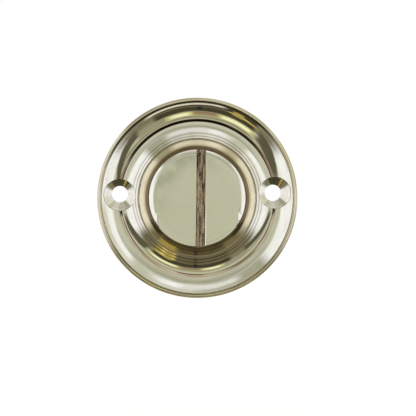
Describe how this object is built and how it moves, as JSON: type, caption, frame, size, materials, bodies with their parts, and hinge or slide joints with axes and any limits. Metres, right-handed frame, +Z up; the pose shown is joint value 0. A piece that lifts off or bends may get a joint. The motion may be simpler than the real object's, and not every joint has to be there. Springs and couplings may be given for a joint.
{
  "type": "bathroom coin release rose",
  "caption": "Round polished nickel door rose with a moulded ring, countersunk screw holes and a slotted disc that turns a square spindle.",
  "frame": {"origin": "on the rose's axis, in the plane of its back face, which lies on the door", "axes": "+Y along the axis into the door, so the face looks along -Y; +X along the row of screw holes; +Z up the door"},
  "size_m": [0.05, 0.0117, 0.05],
  "materials": {
    "polished_nickel": "nickel-plated brass, polished",
    "spring_steel": "oiled dark spring steel",
    "zinc_steel": "zinc-plated steel"
  },
  "bodies": {
    "rose": {"rose": "polished_nickel", "wave_washer": "spring_steel"},
    "release": {"release_disc": "polished_nickel", "thrust_washer": "zinc_steel", "retaining_ring": "spring_steel"}
  },
  "joints": [
    {"name": "release_turn", "type": "hinge", "parent": "rose", "child": "release", "pos_m": [0, 0, 0], "axis": [0, -1, 0], "continuous": true}
  ]
}
